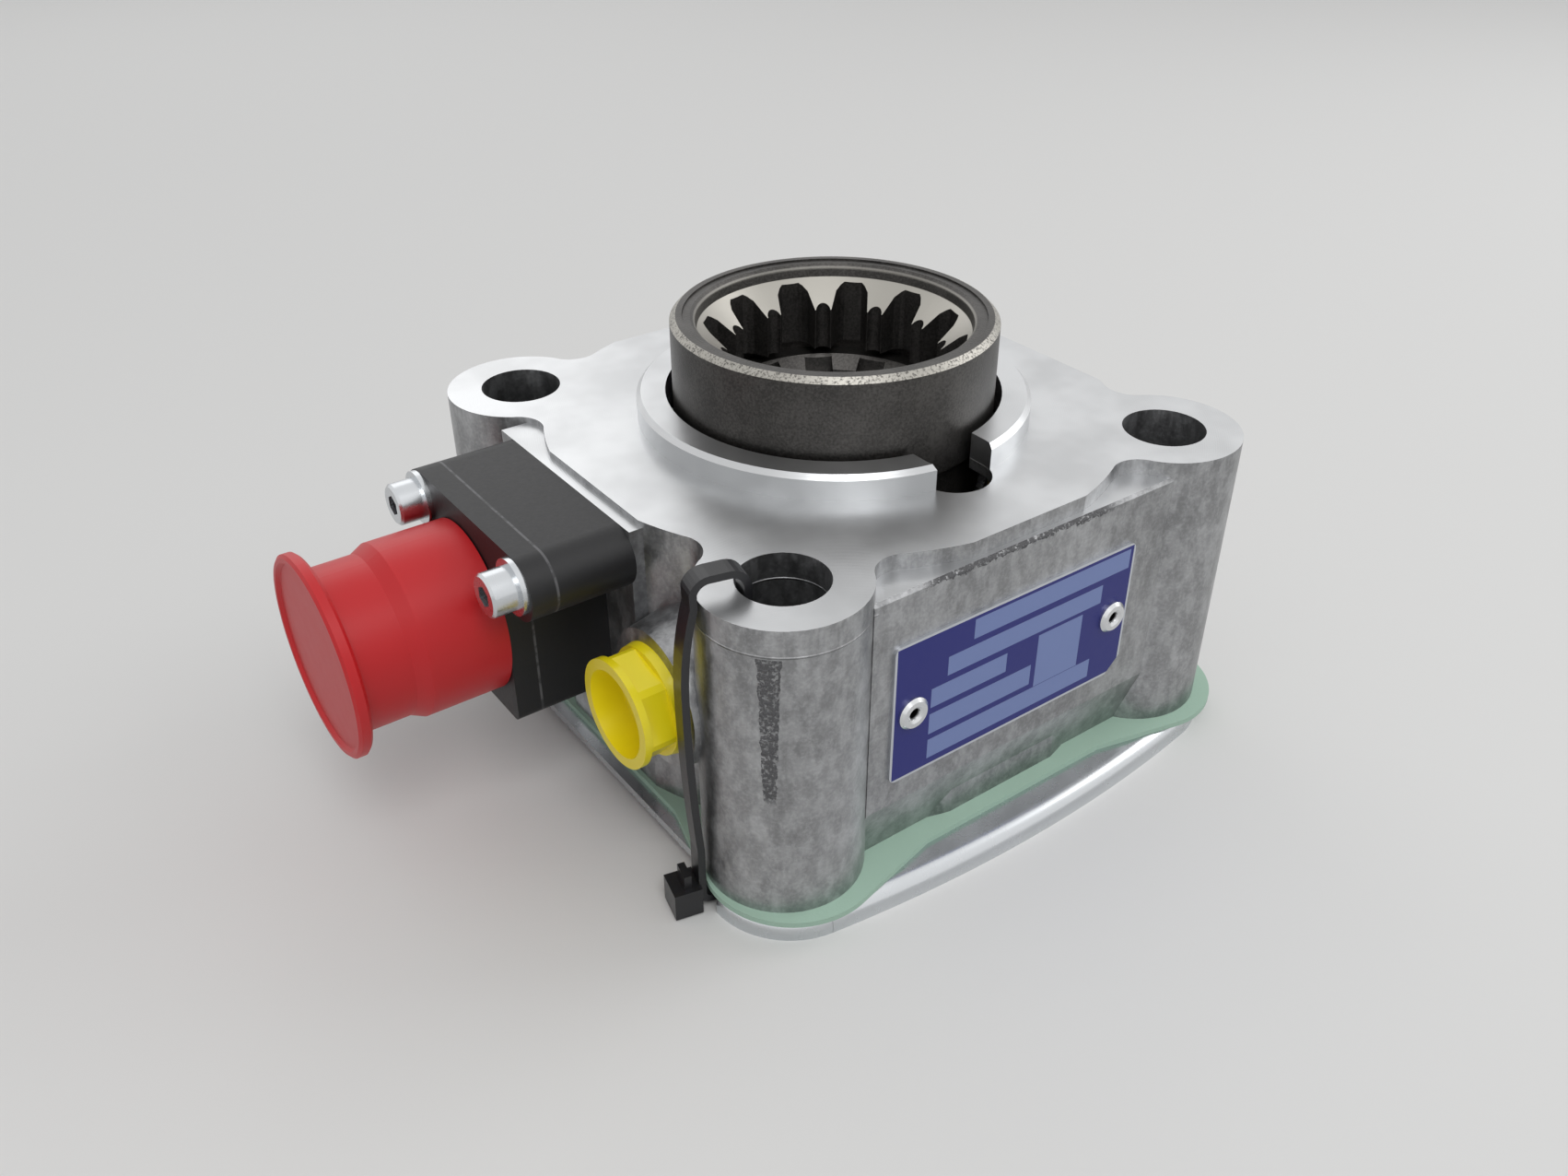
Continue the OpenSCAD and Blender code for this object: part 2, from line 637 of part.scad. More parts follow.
// Outline of the valve block with its two screw ears, in Y and Z.
module valve_outline() {
    corner = 1.5;
    translate([conn_y - valve_w / 2, valve_bottom + corner]) square([valve_w, valve_h - corner]);
    translate([conn_y - valve_w / 2 + corner, valve_bottom]) square([valve_w - 2 * corner, valve_h]);
    for (side = [-1, 1]) translate([conn_y + side * (valve_w / 2 - corner), valve_bottom + corner]) circle(r = corner);
    for (y = [screw_y_front, screw_y_back]) translate([y, valve_top - ear_r]) circle(r = ear_r);
    translate([screw_y_front, valve_top - 2 * ear_r]) square([screw_y_back - screw_y_front, 2 * ear_r]);
}

coil_r = 9.6;
coil_l = 11;
armature_r = 4;
armature_travel = 0.8;

module valve_body() {
    color([0.07, 0.07, 0.08]) difference() {
        slab_x(flange_x, valve_seat_x) valve_outline();
        for (y = [screw_y_front, screw_y_back])
            rod_x(flange_x + past, valve_seat_x - past, y, screw_z, screw_r + 0.3, screw_r + 0.3);
        rod_x(flange_x + past, flange_x - coil_l, conn_y, conn_z, coil_r + 0.05, coil_r + 0.05);
        rod_x(flange_x - coil_l + 0.5, valve_seat_x - past, inlet_y, port_z, 1.2, 1.2);
        rod_x(flange_x - coil_l + 0.5, valve_seat_x - past, outlet_y, outlet_z, 1.2, 1.2);
        o_ring_seats(0);
    }
}

// Seats of the two face seals between the valve and the housing.
module o_ring_seats(play) {
    for (p = [[inlet_y, port_z], [outlet_y, outlet_z]])
        rod_x(valve_seat_x + 1.4 - play, valve_seat_x - 0.01 + play, p[0], p[1], 3.4 - play, 3.4 - play);
}

module valve_o_rings() {
    color([0.1, 0.1, 0.1]) difference() {
        o_ring_seats(0.02);
        for (p = [[inlet_y, port_z], [outlet_y, outlet_z]])
            rod_x(valve_seat_x + 3, valve_seat_x - past, p[0], p[1], 1.6, 1.6);
    }
}

// Copper coil on its bobbin, in one moulded cartridge with an open bore.
module solenoid_coil() {
    color([0.6, 0.34, 0.16]) difference() {
        union() {
            rod_x(flange_x, flange_x - 1, conn_y, conn_z, coil_r, coil_r);
            rod_x(flange_x - 1, flange_x - coil_l + 1, conn_y, conn_z, coil_r - 1, coil_r - 1);
            rod_x(flange_x - coil_l + 1, flange_x - coil_l, conn_y, conn_z, coil_r, coil_r);
        }
        rod_x(flange_x - 1.5, flange_x - coil_l - past, conn_y, conn_z, armature_r + run, armature_r + run);
    }
}

module armature() {
    tail = flange_x - coil_l + 0.05;
    color([0.5, 0.5, 0.52]) difference() {
        rod_x(tail + 6.6, tail, conn_y, conn_z, armature_r, armature_r);
        rod_x(tail + 6.6 + past, tail + 3.6, conn_y, conn_z, 2.6, 2.6);
    }
}

module armature_spring() {
    tail = flange_x - coil_l + 0.05;
    seat = tail + 3.6;
    color([0.6, 0.6, 0.62]) translate([-seat, conn_y, conn_z]) rotate([0, -90, 0])
        coil_spring(2, 0.5, flange_x - 1.5 - seat - armature_travel - run, 5, 16, 6);
}

socket_r = 11.6;
socket_x = front_x + 18;
floor_x = front_x + 4;

// Connector flange with the round bayonet socket that the cap covers.
module connector_housing() {
    lug = [1.1, 3.4, 2.2];
    color([0.07, 0.07, 0.08]) difference() {
        union() {
            slab_x(front_x, flange_x) valve_outline();
            rod_x(socket_x, front_x - 1, conn_y, conn_z, socket_r, socket_r);
            for (a = [30, 150, 270]) translate([-front_x - 9, conn_y, conn_z]) rotate([a, 0, 0])
                translate([0, -lug[1] / 2, socket_r - 0.5]) cube([lug[2], lug[1], lug[0] + 0.5]);
        }
        rod_x(socket_x + past, floor_x, conn_y, conn_z, socket_r - 1.9, socket_r - 1.9);
        for (y = [screw_y_front, screw_y_back])
            rod_x(front_x + past, flange_x - past, y, screw_z, screw_r + 0.3, screw_r + 0.3);
        at_pins() rod_x(front_x + 6, flange_x + 0.5, 0, 0, pin_r, pin_r);
    }
}

pin_r = 0.8;
pin_spread = 3.6;

// Places its children at the four contact pins.
module at_pins() {
    for (a = [45 : 90 : 315]) translate([0, conn_y + pin_spread * cos(a), conn_z + pin_spread * sin(a)]) children();
}

module connector_pins() {
    color([0.78, 0.66, 0.35]) at_pins() {
        rod_x(floor_x + 8, flange_x + 0.55, 0, 0, pin_r, pin_r);
        rod_x(floor_x + 8.8, floor_x + 8, 0, 0, pin_r / 2, pin_r);
    }
}

module valve_screws() {
    head_x = front_x + washer_t;
    color([0.78, 0.79, 0.8]) for (y = [screw_y_front, screw_y_back]) difference() {
        union() {
            rod_x(head_x, head_x - screw_l, y, screw_z, screw_r, screw_r);
            rod_x(head_x + head_h - 0.4, head_x, y, screw_z, head_r, head_r);
            rod_x(head_x + head_h, head_x + head_h - 0.4, y, screw_z, head_r - 0.4, head_r);
        }
        translate([-head_x - head_h - past, y, screw_z]) rotate([0, 90, 0]) cylinder(r = 1.75, h = 2.6 + past, $fn = 6);
    }
}

module valve_washers() {
    color([0.8, 0.8, 0.82]) for (y = [screw_y_front, screw_y_back]) difference() {
        rod_x(front_x + washer_t, front_x, y, screw_z, washer_r, washer_r);
        rod_x(front_x + washer_t + past, front_x - past, y, screw_z, screw_r + 0.15, screw_r + 0.15);
    }
}

// Red pull-off cap: a stepped thin cup with a wide grip disc.
module protective_cap() {
    wall = 1.1;
    disc_t = 2.2;
    rim = front_x + 0.2;
    step = rim + 13;
    end = rim + cap_l;
    cone = 2.2;
    color([0.82, 0.09, 0.1]) translate([0, conn_y, conn_z]) rotate([0, -90, 0]) rotate_extrude() polygon([
        [cap_wide_r, rim], [cap_wide_r, step], [cap_narrow_r, step + cone], [cap_narrow_r, end - disc_t],
        [cap_disc_r - 0.5, end - disc_t], [cap_disc_r, end - disc_t + 0.5], [cap_disc_r, end - 0.4],
        [cap_disc_r - 0.5, end], [cap_disc_r - 1.2, end], [cap_disc_r - 1.7, end - 0.6], [0, end - 0.6],
        [0, end - wall - 0.6], [cap_narrow_r - wall, end - wall - 0.6],
        [cap_narrow_r - wall, step + cone], [cap_wide_r - wall, step], [cap_wide_r - wall, rim]
    ]);
}

// Yellow screw plug in the air port, with a hollow six-sided head.
module port_plug() {
    face = port_x;
    head = face + 7;
    flat = 15.6;
    color([0.95, 0.88, 0.05]) difference() {
        union() {
            rod_x(face, face - 9, port_y, port_z, port_r - 0.1, port_r - 0.1);
            rod_x(face + 1.5, face, port_y, port_z, 8.9, 9.2);
            slab_x(head - 1, face + 1) translate([port_y, port_z]) intersection() {
                rotate(12) circle(d = flat / cos(30), $fn = 6);
                circle(r = 8.7);
            }
            rod_x(head, head - 1.2, port_y, port_z, 8.9, 8.9);
        }
        rod_x(head + past, face + 2, port_y, port_z, 7.3, 6.6);
        rod_x(face - 2, face - 9 - past, port_y, port_z, 4.3, 4.3);
    }
}

// Nameplate sheet with round corners, the lower right one cut larger.
module nameplate() {
    corner = 1.4;
    cut = 3;
    color([0.05, 0.08, 0.45]) translate([plate_x, -pad_y, plate_z]) rotate([90, 0, 0]) difference() {
        linear_extrude(plate_t) intersection() {
            union() {
                square([plate_l, plate_h - 2 * corner], center = true);
                square([plate_l - 2 * corner, plate_h], center = true);
                for (sx = [-1, 1], sy = [-1, 1])
                    translate([sx * (plate_l / 2 - corner), sy * (plate_h / 2 - corner)]) circle(r = corner);
            }
            polygon([
                [-plate_l, plate_h], [plate_l, plate_h], [plate_l, -plate_h / 2 + cut], [plate_l / 2, -plate_h / 2 + cut],
                [plate_l / 2 - cut, -plate_h / 2], [plate_l / 2 - cut, -plate_h], [-plate_l, -plate_h]
            ]);
        }
        for (side = [-1, 1]) translate([side * rivet_pitch / 2, -rivet_y_shift, -past]) cylinder(r = 1.6, h = 3);
    }
}

// Hollow rivets: a round collar on the plate and a tube into the pad.
module nameplate_rivets() {
    color([0.75, 0.76, 0.78]) for (side = [-1, 1])
        translate([plate_x + side * rivet_pitch / 2, -pad_y - plate_t, plate_z - rivet_y_shift]) rotate([90, 0, 0])
            rotate_extrude() polygon([
                [0.85, -5.5], [1.55, -5.5], [1.55, 0.02], [2.8, 0.02], [2.8, 0.45], [2.3, 0.95], [1.5, 1], [1.05, 0.7],
                [0.85, 0.2]
            ]);
}

// Point where a line from a corner point touches a circle about a centre.
function touch(from, centre, r, side) =
    let (d = from - centre, away = norm(d), turn = atan2(d[1], d[0]) + side * acos(r / away))
    centre + r * [cos(turn), sin(turn)];

// Gasket outline: flats and pillars of the body, grown, joined by straight slants.
module gasket_outline() {
    r = pillar_r + gasket_grow;
    flat_end = bolt / 2;
    low = [-flat_valve - gasket_grow, -flat_name - gasket_grow];
    high = [flat_plain + gasket_grow, flat_back + gasket_grow];
    translate([-flat_end, low[1]]) square([2 * flat_end, high[1] - low[1]]);
    translate([low[0], -flat_end]) square([high[0] - low[0], 2 * flat_end]);
    for (sx = [-1, 1], sy = [-1, 1]) {
        pillar = [sx * bolt, sy * bolt];
        flat_x = [sx > 0 ? high[0] : low[0], sy * flat_end];
        flat_y = [sx * flat_end, sy > 0 ? high[1] : low[1]];
        translate(pillar) circle(r = r);
        polygon(wound([
            [sx * flat_end / 2, sy * flat_end / 2], flat_x, touch(flat_x, pillar, r - 0.02, sx * sy), pillar,
            touch(flat_y, pillar, r - 0.02, -sx * sy), flat_y
        ], sx * sy < 0));
    }
}

module gasket() {
    color([0.55, 0.72, 0.6]) translate([0, 0, gasket_z]) linear_extrude(gasket_t) difference() {
        translate(gasket_shift) gasket_outline();
        circle(r = bore_r + 1.5);
        at_bolts() circle(r = cover_hole_r - 0.2);
    }
}

// Intersects its children at the two bow centres of the cover.
module for_bows() {
    intersection() {
        translate([0, cover_bow_r - cover_half_y]) children();
        translate([0, cover_half_y - cover_bow_r]) children();
    }
}

// Profile of a turned down edge at a radius from the centre that it is swept about.
module lip_profile(r) {
    top = sheet_z + sheet_t;
    bend = [r - lip_bend_r, top - lip_bend_r];
    intersection() {
        difference() {
            translate(bend) circle(r = lip_bend_r);
            translate(bend) circle(r = lip_bend_r - sheet_t);
        }
        translate(bend) square(lip_bend_r + past);
    }
    translate([r - sheet_t, top - lip_h]) square([sheet_t, lip_h - lip_bend_r + 0.02]);
    translate([r - lip_bend_r - 1, top - sheet_t]) square([1.02, sheet_t]);
}

// Flat of the sheet inside the bends, which reaches a little under the turned down edges.
module sheet_flat(corner_y) {
    inset = lip_bend_r + 0.5;
    intersection() {
        square([2 * cover_corner_x, 2 * cover_half_y], center = true);
        for_bows() circle(r = cover_bow_r - inset, $fn = 360);
    }
    square([2 * cover_half_x, 2 * (corner_y - lip_relief)], center = true);
    for (sx = [-1, 1], sy = [-1, 1])
        translate([sx * cover_corner_x, sy * corner_y]) circle(r = cover_corner_r - inset + 0.03);
}

// Flat sheet with its edges turned down along the bowed sides and round the corners, with a
// hairline relief slit where each corner meets a side.
module cover_plate() {
    bow_at = cover_bow_r - cover_half_y;
    corner_y = sqrt(pow(cover_bow_r - cover_corner_r, 2) - pow(cover_corner_x, 2)) - bow_at;
    bow_turn = asin(cover_corner_x / (cover_bow_r - cover_corner_r));
    slit_turn = 0.01;
    color([0.68, 0.7, 0.72]) difference() {
        union() {
            translate([0, 0, sheet_z]) linear_extrude(sheet_t) sheet_flat(corner_y);
            for (turn = [0, 180]) rotate(turn) translate([0, bow_at, 0])
                rotate(slit_turn - 90 - bow_turn) rotate_extrude(angle = 2 * (bow_turn - slit_turn), $fn = 360)
                    lip_profile(cover_bow_r);
            for (sx = [-1, 1], sy = [-1, 1]) {
                start = (sy > 0 ? 90 : 270) + (sx * sy > 0 ? -90 : bow_turn);
                translate([sx * cover_corner_x, sy * corner_y, 0]) rotate(start)
                    rotate_extrude(angle = 90 - bow_turn) lip_profile(cover_corner_r);
            }
        }
        at_bolts() translate([0, 0, sheet_z - past]) cylinder(r = cover_hole_r, h = sheet_t + 2 * past);
    }
}

tie_turn = 167;
tie_in = 6.5;
tie_out = pillar_r + gasket_grow - 0.7;
tie_bulge = 15.2;
tie_bulge_z = -15;

// Points of an arc about a centre, from one angle to another.
function arc(x, y, r, from, to, steps) =
    [for (i = [0 : steps]) let (a = from + (to - from) * i / steps) [x + r * cos(a), y + r * sin(a)]];

// Loop of the tie in its own plane: inner outline grown by an amount.
module tie_loop(grow) {
    half = 3.5;
    arch_r = 2;
    arch_z = 1.1;
    low = sheet_z - 0.2;
    corner = 1;
    upper_r = 56;
    lower_r = 350;
    lower_turn = acos(1 - (tie_bulge - tie_out) / lower_r);
    lean = 14.7;
    polygon(concat(
        arc(tie_in + arch_r, arch_z, arch_r + grow, 180, 90, 7),
        arc(tie_in + 2 * half - arch_r, arch_z, arch_r + grow, 90, lean, 6),
        arc(tie_bulge - upper_r, tie_bulge_z, upper_r + grow, lean, 0, 6),
        arc(tie_bulge - lower_r, tie_bulge_z, lower_r + grow, -1, -lower_turn, 6),
        arc(tie_out - corner, low + corner, corner + grow, 0, -90, 4),
        arc(tie_in + corner, low + corner, corner + grow, 270, 180, 4)
    ));
}

module cable_tie() {
    head = [4.6, 5.4, 5];
    head_z = sheet_z + sheet_t - lip_h + 0.3;
    color([0.04, 0.04, 0.05]) translate([-bolt, -bolt, 0]) rotate(tie_turn) {
        rotate([90, 0, 0]) translate([0, 0, -strap_w / 2]) linear_extrude(strap_w) difference() {
            tie_loop(strap_t);
            tie_loop(0);
        }
        translate([tie_out + strap_t - 0.2, -head[1] / 2, head_z]) cube(head);
        translate([tie_out + strap_t + 1.2, -strap_w / 2, head_z + head[2] - 0.5]) cube([strap_t, strap_w, 3]);
    }
}

housing();
coupling_sleeve();
output_shaft();
shaft_core_plug();
bearing_carrier();
carrier_o_ring();
carrier_piston_seal();
carrier_snap_ring();
bearing_spacer();
shaft_seal();
upper_bearing_outer_ring();
upper_bearing_inner_ring();
upper_bearing_cage();
upper_bearing_balls();
lower_bearing_outer_ring();
lower_bearing_inner_ring();
lower_bearing_cage();
lower_bearing_balls();
shift_bearing_outer_ring();
shift_bearing_inner_ring();
shift_bearing_cage();
shift_bearing_balls();
piston();
piston_seal();
piston_snap_ring();
sleeve_snap_ring();
return_spring();
valve_body();
connector_housing();
connector_pins();
solenoid_coil();
armature();
armature_spring();
valve_o_rings();
valve_screws();
valve_washers();
protective_cap();
port_plug();
nameplate();
nameplate_rivets();
gasket();
cover_plate();
cable_tie();
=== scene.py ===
"""Looks of an air shifted power take off unit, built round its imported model.

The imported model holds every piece. This script gives each piece its finish, adds the printed
fields of the nameplate and the small cast and moulded marks, and sets the studio and the camera.
"""

from __future__ import annotations

import logging
import math
from dataclasses import dataclass, field
from enum import Enum

import bpy
from mathutils import Matrix, Vector


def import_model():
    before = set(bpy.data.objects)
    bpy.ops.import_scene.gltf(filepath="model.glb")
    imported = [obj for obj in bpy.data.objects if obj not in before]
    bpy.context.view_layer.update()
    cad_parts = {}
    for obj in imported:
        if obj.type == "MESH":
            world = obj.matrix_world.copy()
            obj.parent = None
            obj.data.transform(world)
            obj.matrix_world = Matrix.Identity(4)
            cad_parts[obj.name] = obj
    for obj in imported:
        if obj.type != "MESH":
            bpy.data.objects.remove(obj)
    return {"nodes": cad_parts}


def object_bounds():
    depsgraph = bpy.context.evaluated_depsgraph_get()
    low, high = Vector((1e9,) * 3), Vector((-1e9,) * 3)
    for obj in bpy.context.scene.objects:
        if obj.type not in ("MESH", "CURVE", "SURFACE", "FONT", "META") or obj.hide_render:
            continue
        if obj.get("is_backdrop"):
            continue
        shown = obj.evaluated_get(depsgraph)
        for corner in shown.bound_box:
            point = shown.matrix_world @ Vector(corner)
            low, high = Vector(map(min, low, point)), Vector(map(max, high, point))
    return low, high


LOG = logging.getLogger("power_take_off")
MM = 0.001
PHOTO_WIDTH = 1702
SENSOR_MM = 36.0
Colour = tuple[float, float, float]


class Slot(Enum):
    """Material slots of the record that the finishes belong to."""

    CAST = "cast_aluminium"
    DARK_STEEL = "dark_steel"
    STEEL = "steel"
    ZINC = "zinc_steel"
    BRASS = "brass"
    COPPER = "copper"
    RUBBER = "rubber"
    BLACK_PLASTIC = "black_plastic"
    RED_PLASTIC = "red_plastic"
    YELLOW_PLASTIC = "yellow_plastic"
    NYLON = "black_nylon"
    BLUE_PLATE = "blue_plate"
    RIVET = "rivet_aluminium"
    GREEN_BOARD = "green_board"


class Expr:
    """A shader value that adds Math nodes when it is used in a Python expression."""

    def __init__(self, graph: Graph, socket: bpy.types.NodeSocket) -> None:
        """Wrap one output socket of a graph."""
        self.graph = graph
        self.socket = socket

    def _math(self, operation: str, *values: Expr | float) -> Expr:
        """Add one Math node on the given values."""
        inputs = dict(enumerate(values))
        return self.graph.add("ShaderNodeMath", {"operation": operation}, inputs)

    def __add__(self, other: Expr | float) -> Expr:
        """Return self + other."""
        return self._math("ADD", self, other)

    def __radd__(self, other: float) -> Expr:
        """Return other + self."""
        return self._math("ADD", other, self)

    def __sub__(self, other: Expr | float) -> Expr:
        """Return self - other."""
        return self._math("SUBTRACT", self, other)

    def __rsub__(self, other: float) -> Expr:
        """Return other - self."""
        return self._math("SUBTRACT", other, self)

    def __mul__(self, other: Expr | float) -> Expr:
        """Return self * other."""
        return self._math("MULTIPLY", self, other)

    def __rmul__(self, other: float) -> Expr:
        """Return other * self."""
        return self._math("MULTIPLY", other, self)

    def __truediv__(self, other: Expr | float) -> Expr:
        """Return self / other."""
        return self._math("DIVIDE", self, other)

    def __pow__(self, other: float) -> Expr:
        """Return self to a power."""
        return self._math("POWER", self, other)

    def __gt__(self, other: Expr | float) -> Expr:
        """Return 1 where self is greater than other, and 0 elsewhere."""
        return self._math("GREATER_THAN", self, other)

    def __lt__(self, other: Expr | float) -> Expr:
        """Return 1 where self is less than other, and 0 elsewhere."""
        return self._math("LESS_THAN", self, other)

    def __abs__(self) -> Expr:
        """Return the size of self without its sign."""
        return self._math("ABSOLUTE", self)

    def clamp(self) -> Expr:
        """Return self held between 0 and 1."""
        return self.graph.add("ShaderNodeClamp", {}, {"Value": self})

    def step(self, low: float, high: float) -> Expr:
        """Return a smooth rise from 0 at low to 1 at high.

        Args:
            low: value at which the rise starts.
            high: value at which the rise ends; it may be below low.
        Returns:
            The rise, held between 0 and 1.
        """
        settings = {"interpolation_type": "SMOOTHSTEP"}
        inputs = {"Value": self, "From Min": low, "From Max": high}
        return self.graph.add("ShaderNodeMapRange", settings, inputs)


class Graph:
    """Node tree of one material, with its shader and the object's own coordinates."""

    def __init__(self, material: bpy.types.Material) -> None:
        """Clear the material's tree and add the shader and the output."""
        material.use_nodes = True
        self.tree = material.node_tree
        self.tree.nodes.clear()
        self.shader = self.tree.nodes.new("ShaderNodeBsdfPrincipled")
        output = self.tree.nodes.new("ShaderNodeOutputMaterial")
        self.tree.links.new(self.shader.outputs["BSDF"], output.inputs["Surface"])
        self.place = self.add("ShaderNodeTexCoord", {}, {}, "Object")

    def add(self, kind: str, settings: dict, inputs: dict, output: str | int = 0) -> Expr:
        """Add a node, set it up and feed it.

        Args:
            kind: the node's type name.
            settings: attributes that are set before the inputs.
            inputs: socket name or number against a value or an Expr.
            output: name or number of the output that is wanted.
        Returns:
            The wanted output.
        """
        node = self.tree.nodes.new(kind)
        for name, value in settings.items():
            setattr(node, name, value)
        for key, value in inputs.items():
            self.feed(node.inputs[key], value)
        return Expr(self, node.outputs[output])

    def feed(self, socket: bpy.types.NodeSocket, value: object) -> None:
        """Link an Expr to a socket, or set the socket's own value."""
        if isinstance(value, Expr):
            self.tree.links.new(value.socket, socket)
        else:
            socket.default_value = value

    def axis(self, letter: str) -> Expr:
        """Return one coordinate of the surface point, in millimetres."""
        parts = self.add("ShaderNodeSeparateXYZ", {}, {0: self.place}, letter)
        return parts / MM

    def facing(self, letter: str) -> Expr:
        """Return one part of the surface's own normal in object space."""
        normal = self.add("ShaderNodeTexCoord", {}, {}, "Normal")
        return self.add("ShaderNodeSeparateXYZ", {}, {0: normal}, letter)

    def radius(self, x: float = 0.0, y: float = 0.0) -> Expr:
        """Return the distance from a vertical line through x and y, in millimetres."""
        dx = self.axis("X") - x
        dy = self.axis("Y") - y
        return (dx * dx + dy * dy) ** 0.5

    def stretched(self, scale: Colour) -> Expr:
        """Return the coordinates, scaled by another amount along each axis."""
        settings = {"operation": "MULTIPLY"}
        return self.add("ShaderNodeVectorMath", settings, {0: self.place, 1: scale})

    def noise(self, per_mm: float, detail: float = 3.0, stretch: Colour = (1, 1, 1)) -> Expr:
        """Return noise between 0 and 1.

        Args:
            per_mm: number of grains in a millimetre.
            detail: how much finer grain is added.
            stretch: amount by which each axis is drawn together.
        Returns:
            The noise value.
        """
        inputs = {
            "Vector": self.stretched(tuple(s / MM for s in stretch)),
            "Scale": per_mm,
            "Detail": detail,
            "Roughness": 0.6,
        }
        return self.add("ShaderNodeTexNoise", {}, inputs, "Fac")

    def blend(self, factor: Expr, low: Colour | Expr, high: Colour | Expr) -> Expr:
        """Return a colour between low and high."""
        node = self.tree.nodes.new("ShaderNodeMix")
        node.data_type = "RGBA"
        colours = [s for s in node.inputs if s.type == "RGBA"]
        self.feed(node.inputs[0], factor)
        for socket, value in zip(colours, (low, high)):
            self.feed(socket, value if isinstance(value, Expr) else (*value, 1.0))
        return Expr(self, next(s for s in node.outputs if s.type == "RGBA"))

    def bump(self, height: Expr, depth_mm: float) -> None:
        """Raise the surface by a height between 0 and 1 of so many millimetres."""
        inputs = {"Height": height, "Distance": depth_mm * MM, "Strength": 1.0}
        self.feed(self.shader.inputs["Normal"], self.add("ShaderNodeBump", {}, inputs))

    def set(self, **values: object) -> None:
        """Set shader sockets by name, with underscores for spaces."""
        for name, value in values.items():
            key = name.replace("_", " ")
            if isinstance(value, tuple) and len(value) == 3:
                value = (*value, 1.0)
            self.feed(self.shader.inputs[key], value)


@dataclass(frozen=True)
class Finish:
    """A plain finish: one colour with a little grain in its gloss."""

    slot: Slot
    colour: Colour
    metal: float = 0.0
    rough: float = 0.5
    grain: float = 0.05
    grain_per_mm: float = 0.8
    bump_mm: float = 0.0
    coat: float = 0.0

    def make(self) -> bpy.types.Material:
        """Return this finish as a material."""
        material = bpy.data.materials.new(self.slot.value)
        graph = Graph(material)
        self.paint(graph)
        return material

    def paint(self, graph: Graph) -> None:
        """Wire the finish into a graph."""
        grain = graph.noise(self.grain_per_mm)
        graph.set(Base_Color=self.colour, Metallic=self.metal, Coat_Weight=self.coat)
        graph.set(Roughness=(self.rough + (grain - 0.5) * (2 * self.grain)).clamp())
        if self.bump_mm > 0:
            graph.bump(grain, self.bump_mm)


